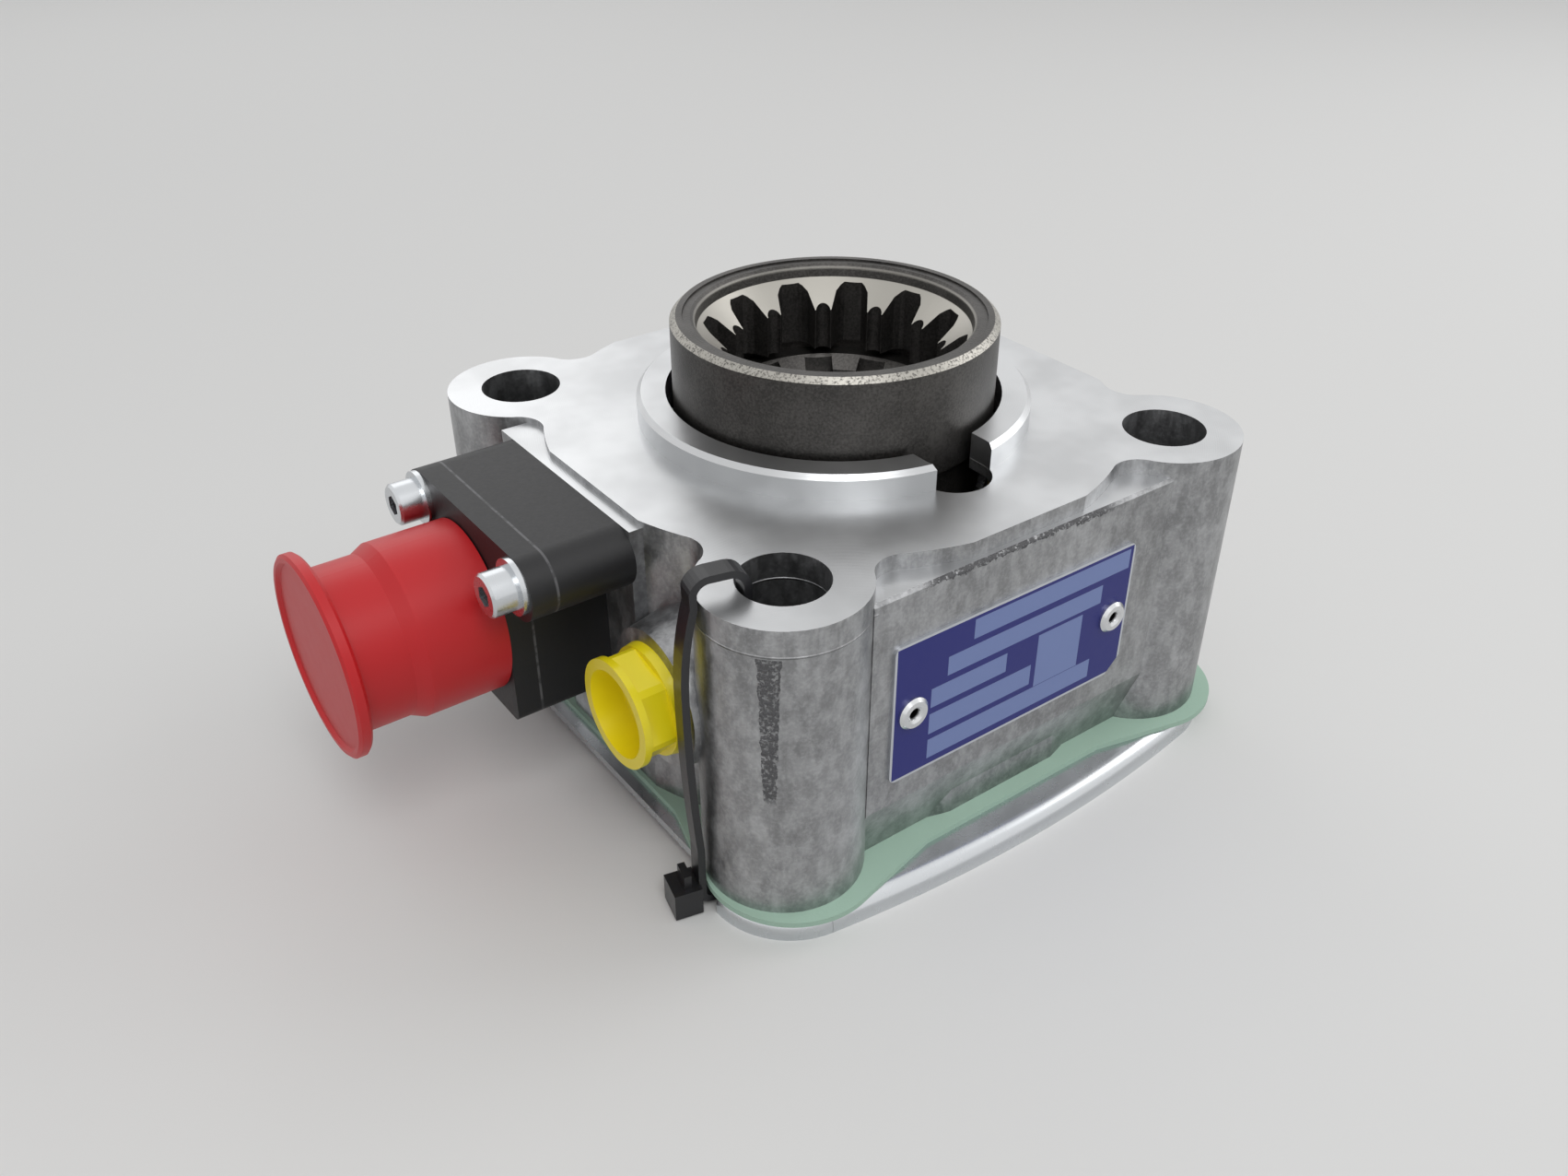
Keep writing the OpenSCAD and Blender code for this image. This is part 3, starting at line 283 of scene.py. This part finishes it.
@dataclass(frozen=True)
class CastAluminium(Finish):
    """Die cast aluminium with milled top faces, bored holes and cast marks."""

    machined: Colour = (0.66, 0.67, 0.68)
    stain: Colour = (0.13, 0.13, 0.135)
    milled_low: float = -3.2
    collar_wall_r: float = 34.4
    pad_y: float = -50.0
    pad_top: float = -2.7
    pillar: float = -40.0
    pillar_r: float = 13.6
    line_z: float = -4.4
    scar_low: float = -31.0
    bump_depth: float = 0.22

    def paint(self, graph: Graph) -> None:
        """Wire the cast and the machined surfaces into a graph."""
        z = graph.axis("Z")
        up = graph.facing("Z")
        radius = graph.radius()
        milled = up.step(0.85, 0.97) * z.step(self.milled_low - 0.2, self.milled_low)
        turned = radius.step(self.collar_wall_r, self.collar_wall_r - 0.25) * z.step(-0.3, -0.1)
        smooth = (milled + turned).clamp()
        flow = graph.noise(0.09, 5.0, (1.0, 1.0, 0.35))
        speck = graph.noise(1.6, 4.0)
        patch = graph.noise(0.045, 3.0)
        rings = graph.add(
            "ShaderNodeTexWave",
            {"wave_type": "RINGS", "rings_direction": "Z"},
            {"Vector": graph.stretched((1 / MM,) * 3), "Scale": 0.9, "Distortion": 1.5, "Detail": 2.0},
            1,
        )
        rough_strip = self.marks(graph, speck, z)
        blotch = graph.noise(0.4, 6.0, (1.0, 1.0, 0.6))
        worn = flow.step(0.35, 0.65) * 0.35 + blotch.step(0.38, 0.64) * 0.4 + speck.step(0.4, 0.7) * 0.25
        cast = graph.blend(worn, tuple(c * 0.45 for c in self.colour), self.colour)
        cast = graph.blend(rough_strip, cast, self.stain)
        dull = tuple(c * 0.82 for c in self.machined)
        milled_colour = graph.blend(patch.step(0.35, 0.65), dull, self.machined)
        graph.set(Base_Color=graph.blend(smooth, cast, milled_colour), Metallic=self.metal)
        cast_rough = self.rough + (worn - 0.5) * 0.18 + rough_strip * 0.25
        machined_rough = 0.24 + patch * 0.08 + speck * 0.05
        graph.set(Roughness=(cast_rough * (1 - smooth) + machined_rough * smooth).clamp())
        line = z.step(self.line_z - 0.25, self.line_z) * z.step(self.line_z + 0.25, self.line_z)
        line = line * (graph.radius(self.pillar, self.pillar) < self.pillar_r)
        cast_height = flow * 0.5 + blotch * 0.3 + speck * 0.2 + rough_strip * speck * 1.8 + line * 0.5
        milled_height = rings * 0.03 + speck * 0.02
        graph.bump(cast_height * (1 - smooth) + milled_height * smooth, self.bump_depth)

    def marks(self, graph: Graph, speck: Expr, z: Expr) -> Expr:
        """Return where the casting shows rough torn strips.

        Args:
            graph: the graph that is painted.
            speck: the fine grain that breaks up the strips.
            z: height of the surface point.
        Returns:
            1 in the strips and 0 elsewhere.
        """
        x = graph.axis("X")
        y = graph.axis("Y")
        torn = graph.noise(0.7, 5.0)
        half = 1.9 + (z - self.line_z) * 0.035 + (torn - 0.5) * 1.2
        scar = (abs(x - y) < half * 1.3) * (x < self.pillar - 7.0)
        scar = scar * z.step(self.scar_low, self.scar_low + 2.0) * (z < self.line_z - 0.4)
        low = z + (torn - 0.5) * 3.0
        ridge = (y < self.pad_y + 0.9) * x.step(-24.0, -19.0) * x.step(20.0, 14.0)
        ridge = ridge * (low > self.pad_top - 0.9) * (z < self.pad_top + 0.2)
        broken = speck.step(0.36, 0.52)
        return ((scar + ridge) * broken).clamp()


@dataclass(frozen=True)
class DarkSleeve(Finish):
    """Phosphated steel with bright cut edges on the rim and the tooth faces."""

    bright: Colour = (0.40, 0.385, 0.35)
    tooth_low: float = 10.2
    tooth_high: float = 15.3
    tooth_r: float = 23.3
    rim_z: float = 16.5
    rim_r: float = 26.7
    lip_z: float = 16.2
    lip_r: float = 23.9

    def paint(self, graph: Graph) -> None:
        """Wire the dark coat and the bright edges into a graph."""
        z = graph.axis("Z")
        radius = graph.radius()
        up = graph.facing("Z")
        speck = graph.noise(2.4, 4.0)
        cloud = graph.noise(0.12, 3.0)
        faces = z.step(self.tooth_low, self.tooth_low + 0.3)
        faces = faces * z.step(self.tooth_high, self.tooth_high - 0.2)
        faces = faces * up.step(0.3, 0.4) * radius.step(self.tooth_r, self.tooth_r - 0.2)
        rim = z.step(self.rim_z, self.rim_z + 0.12) * radius.step(self.rim_r, self.rim_r + 0.08)
        rim = rim * up.step(0.2, 0.3)
        lip = z.step(self.lip_z, self.lip_z + 0.25) * radius.step(self.lip_r, self.lip_r - 0.2)
        lip = lip * up.step(0.1, 0.2)
        cut = (faces + rim * speck.step(0.3, 0.55) + lip * 0.4).clamp()
        mottle = (speck * 0.6 + cloud * 0.4).step(0.35, 0.65)
        dark = graph.blend(mottle, tuple(c * 0.5 for c in self.colour), self.colour)
        graph.set(Base_Color=graph.blend(cut, dark, self.bright), Metallic=self.metal)
        satin = 0.36 + cloud * 0.1
        graph.set(Roughness=((self.rough + (speck - 0.5) * 0.3) * (1 - cut) + satin * cut).clamp())
        graph.bump(speck * (1 - cut * 0.7), 0.05)


@dataclass(frozen=True)
class PrintedPlate(Finish):
    """Blue printed nameplate with bare pale fields and a bright cut edge."""

    field_colour: Colour = (0.17, 0.23, 0.47)
    edge_colour: Colour = (0.6, 0.62, 0.66)
    centre_x: float = -1.9
    centre_z: float = -24.4
    half_l: float = 25.65
    half_h: float = 12.85
    edge_width: float = 0.45
    # Left, right, low and high sides of each field, from the plate's centre
    fields: tuple[tuple[float, float, float, float], ...] = (
        (-9.9, 24.5, 8.2, 11.8),
        (-14.9, 18.7, 3.5, 7.0),
        (-18.0, -2.2, -1.3, 2.3),
        (-18.1, 3.6, -6.4, -2.5),
        (-18.1, 18.0, -11.2, -7.5),
        (4.7, 14.7, -7.4, 2.8),
    )

    def paint(self, graph: Graph) -> None:
        """Wire the print into a graph."""
        x = graph.axis("X") - self.centre_x
        z = graph.axis("Z") - self.centre_z
        front = graph.facing("Y").step(-0.8, -0.95)
        printed = None
        for left, right, low, high in self.fields:
            spot = (x > left) * (x < right) * (z > low) * (z < high)
            printed = spot if printed is None else printed + spot
        border = (abs(x) > self.half_l - self.edge_width) + (abs(z) > self.half_h - self.edge_width)
        edge = (border + (1 - front)).clamp()
        grain = graph.noise(0.9)
        ink = graph.blend(printed.clamp(), self.colour, self.field_colour)
        graph.set(Base_Color=graph.blend(edge, ink, self.edge_colour))
        graph.set(Metallic=(self.metal + edge * 0.9).clamp(), Coat_Weight=self.coat)
        graph.set(Roughness=(self.rough + (grain - 0.5) * 0.1 - edge * 0.05).clamp())


@dataclass(frozen=True)
class BlindRivet(Finish):
    """Bright aluminium rivets with painted shade in the hole where the mandrel broke off."""

    centres_x: tuple[float, float] = (-23.65, 19.85)
    centre_z: float = -24.7
    hollow_shade_r: float = 0.95
    # Near black colour that stands in as painted shade inside each mandrel hole
    hollow_shade_colour: Colour = (0.01, 0.01, 0.012)

    def paint(self, graph: Graph) -> None:
        """Wire the bright head and the painted shade in the mandrel hole into a graph."""
        x = graph.axis("X")
        dz = graph.axis("Z") - self.centre_z
        hollow_shade = None
        for centre in self.centres_x:
            dx = x - centre
            spot = ((dx * dx + dz * dz) ** 0.5).step(self.hollow_shade_r + 0.1, self.hollow_shade_r - 0.1)
            hollow_shade = spot if hollow_shade is None else hollow_shade + spot
        # Painted shade: a near black disc is coloured into the middle of each rivet head, where the hole
        # is
        graph.set(Base_Color=graph.blend(hollow_shade.clamp(), self.colour, self.hollow_shade_colour))
        graph.set(Metallic=self.metal, Roughness=(self.rough + hollow_shade * 0.4).clamp())


@dataclass(frozen=True)
class ValvePlastic(Finish):
    """Fine grained black plastic with a pale worn line where the two mouldings meet."""

    seam_x: float = -63.3
    seam_half: float = 0.28
    worn: Colour = (0.10, 0.10, 0.105)

    def paint(self, graph: Graph) -> None:
        """Wire the plastic and its seam into a graph."""
        super().paint(graph)
        off = abs(graph.axis("X") - self.seam_x)
        broken = graph.noise(0.5, 4.0).step(0.38, 0.55)
        line = off.step(self.seam_half, self.seam_half * 0.4) * (0.35 + broken * 0.65)
        graph.set(Base_Color=graph.blend(line.clamp(), self.colour, self.worn))


@dataclass(frozen=True)
class ClearRed(Finish):
    """Glossy soft plastic that lets a little light through."""

    glow: float = 0.15
    glow_depth_mm: float = 2.0
    glow_colour: Colour = (1.0, 0.25, 0.2)
    ior: float = 1.48

    def paint(self, graph: Graph) -> None:
        """Wire the plastic into a graph."""
        super().paint(graph)
        graph.set(Subsurface_Weight=self.glow, Subsurface_Scale=self.glow_depth_mm * MM, IOR=self.ior)
        graph.shader.inputs["Subsurface Radius"].default_value = self.glow_colour


CAST = CastAluminium(Slot.CAST, (0.50, 0.505, 0.515), 0.95, 0.42)
DARK_STEEL = DarkSleeve(Slot.DARK_STEEL, (0.105, 0.10, 0.095), 0.85, 0.42)
STEEL = Finish(Slot.STEEL, (0.42, 0.42, 0.42), 1.0, 0.28)
ZINC = Finish(Slot.ZINC, (0.62, 0.64, 0.66), 1.0, 0.27, 0.08, 0.15)
BRASS = Finish(Slot.BRASS, (0.6, 0.45, 0.2), 1.0, 0.3)
COPPER = Finish(Slot.COPPER, (0.6, 0.28, 0.14), 1.0, 0.35)
RUBBER = Finish(Slot.RUBBER, (0.02, 0.02, 0.02), 0.0, 0.55)
BLACK_PLASTIC = ValvePlastic(Slot.BLACK_PLASTIC, (0.006, 0.006, 0.007), 0.0, 0.5, 0.06, 1.4, 0.02)
RED_PLASTIC = ClearRed(Slot.RED_PLASTIC, (0.52, 0.008, 0.012), 0.0, 0.42, 0.04, 0.3)
YELLOW_PLASTIC = Finish(Slot.YELLOW_PLASTIC, (0.88, 0.74, 0.01), 0.0, 0.3, 0.04, 0.5, 0.0, 0.15)
NYLON = Finish(Slot.NYLON, (0.014, 0.014, 0.016), 0.0, 0.33, 0.04)
BLUE_PLATE = PrintedPlate(Slot.BLUE_PLATE, (0.006, 0.01, 0.17), 0.1, 0.4)
RIVET = BlindRivet(Slot.RIVET, (0.7, 0.71, 0.72), 1.0, 0.25)
GREEN_BOARD = Finish(Slot.GREEN_BOARD, (0.36, 0.52, 0.42), 0.0, 0.75, 0.05, 2.0, 0.04)


@dataclass
class SubAssembly:
    """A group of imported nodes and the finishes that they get."""

    title: str
    finishes: dict[str, Finish] = field(default_factory=dict)
    smooth_angle: float = 32.0

    def dress(self, nodes: dict[str, bpy.types.Object], made: dict[Finish, bpy.types.Material]) -> None:
        """Give every node of the group its finish.

        Args:
            nodes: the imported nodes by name.
            made: materials that exist already, by finish.
        """
        for name, finish in self.finishes.items():
            if finish not in made:
                made[finish] = finish.make()
            node = nodes[name]
            node.data.materials.clear()
            node.data.materials.append(made[finish])
            node.data.shade_smooth()
            node.data.set_sharp_from_angle(angle=math.radians(self.smooth_angle))
            LOG.info("%s: %s is finished as %s", self.title, name, finish.slot.value)


class Bearing(SubAssembly):
    """One thin section ball bearing of four nodes."""

    def __init__(self, place: str) -> None:
        """Name the bearing's nodes from its place."""
        prefix = f"{place}_bearing_"
        rings = {prefix + part: STEEL for part in ("outer_ring", "inner_ring", "balls")}
        super().__init__(f"{place} bearing", {**rings, prefix + "cage": BRASS})


def sub_assemblies() -> list[SubAssembly]:
    """Return every group of the unit, from the casting outwards."""
    shaft = {"output_shaft": STEEL, "shaft_core_plug": STEEL, "bearing_spacer": STEEL}
    rubber = ("carrier_o_ring", "carrier_piston_seal", "piston_seal", "shaft_seal", "valve_o_rings")
    rings = ("carrier_snap_ring", "piston_snap_ring", "sleeve_snap_ring")
    return [
        SubAssembly("casting", {"housing": CAST, "bearing_carrier": CAST, "piston": CAST}),
        SubAssembly("sleeve", {"coupling_sleeve": DARK_STEEL}),
        SubAssembly("shaft", shaft),
        Bearing("upper"),
        Bearing("lower"),
        Bearing("shift"),
        SubAssembly("seals", {name: RUBBER for name in rubber}),
        SubAssembly("rings and spring", {name: STEEL for name in (*rings, "return_spring")}),
        SubAssembly("valve", {"valve_body": BLACK_PLASTIC, "connector_housing": BLACK_PLASTIC}),
        SubAssembly("magnet", {"solenoid_coil": COPPER, "armature": STEEL, "armature_spring": STEEL}),
        SubAssembly("contacts", {"connector_pins": BRASS}),
        SubAssembly("valve screws", {"valve_screws": ZINC, "valve_washers": ZINC}),
        SubAssembly("transport caps", {"protective_cap": RED_PLASTIC, "port_plug": YELLOW_PLASTIC}),
        SubAssembly("nameplate", {"nameplate": BLUE_PLATE, "nameplate_rivets": RIVET}),
        SubAssembly("pump face cover", {"gasket": GREEN_BOARD, "cover_plate": ZINC, "cable_tie": NYLON}),
    ]


@dataclass
class PhotoCamera:
    """The photograph's camera, solved from the bolt square of the unit."""

    focal_px: float = 1460.9
    azimuth: float = -36.21
    elevation: float = 33.09
    roll: float = -0.07
    place_mm: Colour = (-133.61, -168.03, 101.79)

    def make(self) -> bpy.types.Object:
        """Return the scene's camera."""
        data = bpy.data.cameras.new("photo_camera")
        data.sensor_width = SENSOR_MM
        data.lens = self.focal_px * SENSOR_MM / PHOTO_WIDTH
        data.clip_start = 0.01
        camera = bpy.data.objects.new("photo_camera", data)
        bpy.context.scene.collection.objects.link(camera)
        az, el = math.radians(self.azimuth), math.radians(self.elevation)
        back = Vector((math.sin(az) * math.cos(el), -math.cos(az) * math.cos(el), math.sin(el)))
        turn = (-back).to_track_quat("-Z", "Y").to_matrix().to_4x4()
        roll = Matrix.Rotation(math.radians(self.roll), 4, "Z")
        camera.matrix_world = Matrix.Translation(Vector(self.place_mm) * MM) @ turn @ roll
        bpy.context.scene.camera = camera
        return camera


@dataclass
class Lamp:
    """One soft area lamp that is aimed at the unit."""

    name: str
    place: Colour
    size: float
    watts: float

    def make(self, target: Vector) -> bpy.types.Object:
        """Return the lamp, aimed at a point."""
        data = bpy.data.lights.new(self.name, "AREA")
        data.shape = "SQUARE"
        data.size = self.size
        data.energy = self.watts
        lamp = bpy.data.objects.new(self.name, data)
        bpy.context.scene.collection.objects.link(lamp)
        lamp.location = Vector(self.place)
        lamp.rotation_mode = "QUATERNION"
        lamp.rotation_quaternion = (target - lamp.location).to_track_quat("-Z", "Y")
        return lamp


@dataclass
class Studio:
    """Plain pale floor, white backdrop and soft lamps."""

    floor_z: float
    floor_colour: Colour = (0.72, 0.72, 0.71)
    floor_half: float = 6.0
    world_level: float = 0.55
    aim: Colour = (0.0, 0.0, -0.02)
    lamps: tuple[Lamp, ...] = (
        Lamp("key_lamp", (-0.25, -0.55, 0.75), 0.45, 2.8),
        Lamp("side_lamp", (0.75, -0.2, 0.45), 0.5, 1.6),
        Lamp("back_lamp", (0.1, 0.8, 0.5), 0.6, 0.7),
    )

    def make(self) -> None:
        """Build the floor, the world and the lamps."""
        self.floor()
        self.world()
        for lamp in self.lamps:
            lamp.make(Vector(self.aim))

    def floor(self) -> None:
        """Build the floor that keeps the unit's shadow and shows white far off."""
        half = self.floor_half
        outline = [(-half, -half, 0), (half, -half, 0), (half, half, 0), (-half, half, 0)]
        mesh = bpy.data.meshes.new("studio_floor")
        mesh.from_pydata(outline, [], [(0, 1, 2, 3)])
        floor = bpy.data.objects.new("studio_floor", mesh)
        floor.location.z = self.floor_z
        bpy.context.scene.collection.objects.link(floor)
        material = bpy.data.materials.new("studio_floor")
        Graph(material).set(Base_Color=self.floor_colour, Roughness=0.85)
        mesh.materials.append(material)
        floor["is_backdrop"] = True

    def world(self) -> None:
        """Light the unit evenly and show a white backdrop to the camera."""
        world = bpy.data.worlds.new("studio_world")
        bpy.context.scene.world = world
        world.use_nodes = True
        tree = world.node_tree
        tree.nodes.clear()
        path = tree.nodes.new("ShaderNodeLightPath")
        seen = path.outputs["Is Camera Ray"]
        for other in ("Is Glossy Ray", "Is Transmission Ray"):
            either = tree.nodes.new("ShaderNodeMath")
            either.operation = "MAXIMUM"
            tree.links.new(seen, either.inputs[0])
            tree.links.new(path.outputs[other], either.inputs[1])
            seen = either.outputs[0]
        light = tree.nodes.new("ShaderNodeBackground")
        light.inputs["Strength"].default_value = self.world_level
        white = tree.nodes.new("ShaderNodeBackground")
        white.inputs["Color"].default_value = (1, 1, 1, 1)
        mix = tree.nodes.new("ShaderNodeMixShader")
        output = tree.nodes.new("ShaderNodeOutputWorld")
        self.sky(tree, light)
        tree.links.new(seen, mix.inputs[0])
        tree.links.new(light.outputs[0], mix.inputs[1])
        tree.links.new(white.outputs[0], mix.inputs[2])
        tree.links.new(mix.outputs[0], output.inputs[0])

    def sky(self, tree: bpy.types.NodeTree, light: bpy.types.Node) -> None:
        """Give the light a soft fall from the ceiling to the horizon, so that metal has form.

        Args:
            tree: the world's node tree.
            light: the background node whose colour is fed.
        """
        coords = tree.nodes.new("ShaderNodeTexCoord")
        split = tree.nodes.new("ShaderNodeSeparateXYZ")
        ramp = tree.nodes.new("ShaderNodeValToRGB")
        stops = ramp.color_ramp.elements
        stops[0].position, stops[0].color = 0.0, (0.16, 0.16, 0.17, 1)
        stops[1].position, stops[1].color = 1.0, (1.5, 1.5, 1.5, 1)
        middle = stops.new(0.35)
        middle.color = (0.6, 0.6, 0.62, 1)
        tree.links.new(coords.outputs["Generated"], split.inputs[0])
        tree.links.new(split.outputs["Z"], ramp.inputs[0])
        tree.links.new(ramp.outputs[0], light.inputs["Color"])


def main() -> None:
    """Load the unit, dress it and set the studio."""
    logging.basicConfig(level=logging.INFO, format="%(name)s: %(message)s")
    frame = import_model()
    cad_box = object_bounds()
    PhotoCamera().make()
    bpy.context.scene.view_settings.view_transform = "Standard"
    made: dict[Finish, bpy.types.Material] = {}
    for group in sub_assemblies():
        group.dress(frame["nodes"], made)
    Studio(floor_z=cad_box[0].z).make()


if __name__ == "__main__":
    main()
